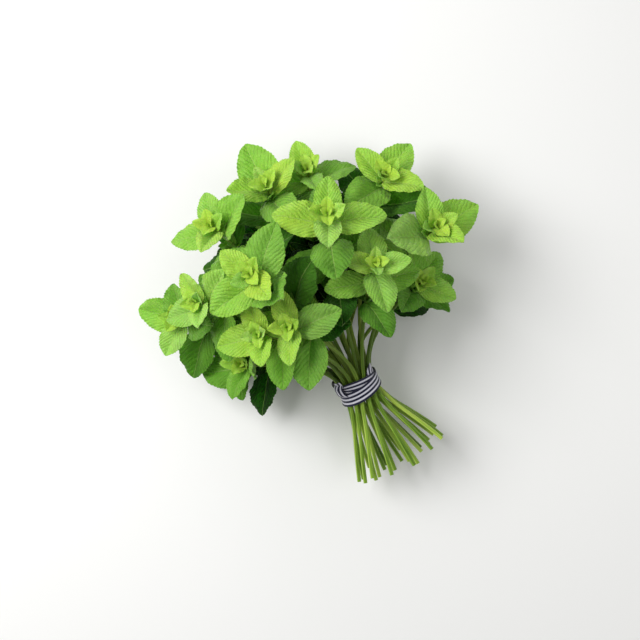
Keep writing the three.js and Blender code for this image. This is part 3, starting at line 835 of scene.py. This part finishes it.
def buildSprig(sprig):
    index = sprig["index"]
    parts = [growStem(stemMaster, sprig, draw(index, 0, 11))]
    young = headLeaves(sprig)
    for leaf in sprig["leaves"]:
        key = 2 * leaf["level"] + leaf["which"] + 1
        leaf["cup"] = cups[leaf["level"]] + cupVary * draw(index, key, 15)
        kind = "small" if leaf["length"] < longestSmall else "large" if sprig["front"] else "middle"
        parts.append(growLeaf(leafMasters[kind], leaf, leafShade(sprig, leaf, key), draw(index, key, 13)))
        if leaf["level"] >= shoots["from"]:
            young += shootLeaves(sprig, leaf)
    # painted shade on the young leaves of the fans under the heads
    darker = 0 if sprig["front"] else ageAndPaintedShade["underTipsShade"]
    for leaf, shade in young:
        parts.append(growLeaf(leafMasters["small"], leaf, shade + darker, 0))
    deselect()
    for part in parts:
        part.select_set(True)
    bpy.context.view_layer.objects.active = parts[0]
    bpy.ops.object.join()
    piece = bpy.context.object
    piece.name = f"mint_sprig_{index + 1:02d}"
    bpy.ops.object.shade_smooth_by_angle(angle=math.radians(50))
    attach(piece, "root")
    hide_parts(f"sprig_{index + 1:02d}")
    return piece


sprigPieces = [buildSprig(sprig) for sprig in sprigs]
for master in [*leafMasters.values(), stemMaster]:
    bpy.data.objects.remove(master)
print("sprigs", len(sprigPieces), "triangles", sum(2 * len(p.data.polygons) for p in sprigPieces))


ribbon = {
    "width": 11, "cloth": 0.3, "thick": 0.8,  # of the cloth alone, and with the air under it
    "wraps": 2, "drift": 4.4, "close": 1.9,  # how far the wraps part at the knot, and how soon they close
    "clear": 0.5, "flare": 0.014, "rise": 0.75,  # off the stems, out with them as they spread, and each turn
    "gather": 0.45, "gatherRun": 0.5,  # into the knot, over this much of a turn in radians
    "stripes": 7, "navy": "#1B1C3A", "white": "#E4E3EE",
    "rib": 0.45,  # mm along the ribbon
    "finish": {"Roughness": 0.8, "Sheen Weight": 0.25, "Specular IOR Level": 0.25},
}
knot = {"turn": -64, "shown": -57, "middle": 4.1, "length": 11.5, "width": 7.5, "height": 2.3}
# The ends: where each comes out from under the wraps, in degrees round the stems and mm along them, its
# width and how much of that it loses, and how far it lifts
ribbonEnds = {
    "ribbon_tail": {"turns": (-57, -49), "run": (6.5, 13.5), "width": 8.5, "taper": 0.25,
                    "lift": (0.4, 2.6)},
    "ribbon_corner": {"turns": (50, 50), "run": (4.5, 15.5), "width": 15, "taper": 0.86,
                      "lift": (0.2, 1.2)},
}
stemCorner = 0.71 * bunch["stemSide"]  # from the middle of a stem to its corner
underRibbon = outerRing + stemCorner + ribbon["clear"]


def wrapPoint(turn, z, height):
    # a point on the ribbon, this far round and along the stems and this high over them
    turn, z, height = np.broadcast_arrays(np.asarray(turn, float), z, height)
    reach = underRibbon + ribbon["flare"] * z * z + height
    out = np.sin(turn)[:, None] * axisRight + np.cos(turn)[:, None] * axisUp
    return waist + z[:, None] * axis + reach[:, None] * out


def ribbonMaterial():
    # woven cotton ribbon: matte, navy and white stripes along it, with fine ribs across
    material, tree, shader = newMaterial("wovenStripedRibbon", ribbon["finish"])
    uv = addNode(tree, "UVMap", uv_map="leafMap")
    fromEdge, along = addNode(tree, "SeparateXYZ", (uv,)).node.outputs[:2]
    # the edges of the stripes waver a little, as woven ones do
    wobble = addNode(tree, "TexNoise", {"Vector": uv, "Scale": 6.0, "Detail": 1.0})
    wobble = addNode(tree, "Math", (wobble, 0.5), operation="SUBTRACT")
    lane = addNode(tree, "Math", (fromEdge, ribbon["stripes"] / 2), operation="MULTIPLY")
    lane = addNode(tree, "Math", (wobble, 0.06, lane), operation="MULTIPLY_ADD")
    stripe = addNode(tree, "Math", (lane,), operation="FRACT")
    stripe = addNode(tree, "Math", (stripe, 0.25), operation="SUBTRACT")
    stripe = addNode(tree, "Math", (stripe, 0.5), operation="PINGPONG")
    white = addNode(tree, "MapRange", {"Value": stripe, "From Min": 0.245, "From Max": 0.305},
                    interpolation_type="SMOOTHSTEP")
    base = addNode(tree, "Mix", {0: white, 6: ribbon["navy"], 7: ribbon["white"]}, 2, data_type="RGBA")
    # the map's Y is in millimetres, and the 22 threads side by side are coarser than real ones, to show
    ribs = addNode(tree, "Math", (along, 2 * math.pi / ribbon["rib"]), operation="MULTIPLY")
    ribs = addNode(tree, "Math", (ribs,), operation="SINE")
    threads = addNode(tree, "Math", (fromEdge, 2 * math.pi * 22), operation="MULTIPLY")
    threads = addNode(tree, "Math", (threads,), operation="SINE")
    weave = addNode(tree, "Math", (threads, 0.4, ribs), operation="MULTIPLY_ADD")
    # painted shade between the ribs of the weave, lighter on their crests
    shade = addNode(tree, "Math", (ribs, 0.05, 0.93), operation="MULTIPLY_ADD")
    base = addNode(tree, "Mix", {0: 1.0, 6: base, 7: shade}, 2, data_type="RGBA", blend_type="MULTIPLY")
    tree.links.new(base, shader.inputs["Base Color"])
    bump = addNode(tree, "Bump", {"Strength": 0.5, "Distance": 0.12 * mm, "Height": weave})
    tree.links.new(bump, shader.inputs["Normal"])
    return material


def finishCloth(piece, name, *nodes):
    piece.name = name
    deselect()
    piece.select_set(True)
    bpy.context.view_layer.objects.active = piece
    bpy.ops.object.shade_smooth_by_angle(angle=math.radians(50))
    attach(piece, "root")
    if nodes:
        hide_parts(*nodes)
    return piece


def makeWraps(material):
    # two wraps, gathered where they run into the knot, one over the other across from it
    piece = masterSheet("wraps", 264, 14, [material])
    x, y, z = readPoints(piece.data).T
    share = (y + 1) / 2
    last = 2 * math.pi * ribbon["wraps"]
    turns = last * share
    ends = (np.exp(-(turns / ribbon["gatherRun"]) ** 2)
            + np.exp(-((turns - last) / ribbon["gatherRun"]) ** 2))
    reach = x * ribbon["width"] / 2 * (1 - ribbon["gather"] * ends)
    side = np.cos(turns / 2)
    middle = ribbon["drift"] * np.sign(side) * np.abs(side) ** ribbon["close"]
    folds = ribbon["gather"] * ends * np.sin(x * 9) + 0.12 * np.sin(turns * 3.1 + x * 2.4) * np.abs(x)
    height = ribbon["rise"] * turns / (2 * math.pi) + ribbon["thick"] / 2 + folds
    points = wrapPoint(math.radians(knot["turn"]) + turns, middle + reach, height + z * ribbon["cloth"])
    shapeMesh(piece.data, points, (x + 1) / 2, share * last * (outerRing + 3))
    return finishCloth(piece, "ribbon_wraps", "tie_ribbon")


def makeKnot(material):
    # the strip pulled tight over the gathered wrap and tucked under it at both ends
    piece = masterSheet("knot", 40, 24, [material])
    x, y, z = readPoints(piece.data).T
    arch = 1 - np.abs(y) ** 3
    crease = 0.3 * np.sin(x * 7.5 + 1.1 * y) * (0.35 + 0.65 * np.abs(y))
    side = knot["width"] / 2 * (0.78 + 0.22 * y * y) * np.sin(x * math.pi / 2)
    under = np.where(y > 0, 0.2, 1.2)
    top = ribbon["rise"] * 2 + 0.9 + knot["height"] * np.cos(x * math.pi / 2) ** 0.8
    tall = under + (top - under + crease) * arch + z * ribbon["cloth"]
    turn = math.radians(knot["shown"]) + side / outerRing
    points = wrapPoint(turn, knot["middle"] + knot["length"] / 2 * y, tall)
    shapeMesh(piece.data, points, (x + 1) / 2, y * knot["length"] / 2)
    return finishCloth(piece, "ribbon_knot")


def makeEnd(material, name, end):
    # an end of the ribbon that comes out from under the wraps and lies on the stems
    piece = masterSheet(name, 24, 12, [material])
    x, y, z = readPoints(piece.data).T
    t = (y + 1) / 2
    half = end["width"] / 2 * (1 - end["taper"] * t)
    turn = np.radians(lerp(*end["turns"], t)) + x * half / (outerRing + 4)
    tall = lerp(*end["lift"], t ** 1.4) + 0.35 * np.sin(3 * x + 2 * t) + z * ribbon["cloth"]
    points = wrapPoint(turn, lerp(*end["run"], t), tall)
    shapeMesh(piece.data, points, 0.5 + x * half / ribbon["width"], t * (end["run"][1] - end["run"][0]))
    return finishCloth(piece, name)


ribbonCloth = ribbonMaterial()
wraps = makeWraps(ribbonCloth)
loose = [makeKnot(ribbonCloth), *[makeEnd(ribbonCloth, name, end) for name, end in ribbonEnds.items()]]
print("ribbon made")


view = {"place": (-13, -4.6, 1143), "turn": -26.8, "lens": 77.3, "sensor": 36}
studio = {
    "floor": "#F4F4F2", "world": 0.28, "aim": (0, 0, 0.05),
    # where each lamp hangs, its side and its power
    "lamps": {"key": ((-0.55, 0.6, 0.95), 0.75, 14.5), "fill": ((0.7, -0.5, 0.9), 0.9, 3.4),
              "rim": ((0.2, 0.9, 0.6), 0.6, 1.5)},
}
cameraData = bpy.data.cameras.new("camera")
cameraData.lens = view["lens"]
cameraData.sensor_width = view["sensor"]
camera = bpy.data.objects.new("camera", cameraData)
camera.location = [c * mm for c in view["place"]]
camera.rotation_euler = (0, 0, math.radians(view["turn"]))
bpy.context.collection.objects.link(camera)
bpy.context.scene.camera = camera

# a matt white floor under soft light, for an even ground and a soft shadow
deselect()
bpy.ops.mesh.primitive_plane_add(size=6, location=(0, 0, 0))
floor = bpy.context.object
floor.name = "floor"
floorPaint = newMaterial("mattWhiteFloor", {"Base Color": toLinear(studio["floor"]), "Roughness": 0.9})[0]
dress(floor, [floorPaint])

for name, (place, size, power) in studio["lamps"].items():
    data = bpy.data.lights.new(name, "AREA")
    data.size = size
    data.energy = power
    lamp = bpy.data.objects.new(name, data)
    lamp.location = place
    lamp.rotation_euler = (Vector(studio["aim"]) - Vector(place)).to_track_quat("-Z", "Y").to_euler()
    bpy.context.collection.objects.link(lamp)
world = bpy.data.worlds.new("studio")
bpy.context.scene.world = world
world.use_nodes = True
background = world.node_tree.nodes["Background"]
background.inputs["Color"].default_value = (1, 1, 1, 1)
background.inputs["Strength"].default_value = studio["world"]
bpy.context.scene.view_settings.view_transform = "Standard"
print("light, floor and camera set")
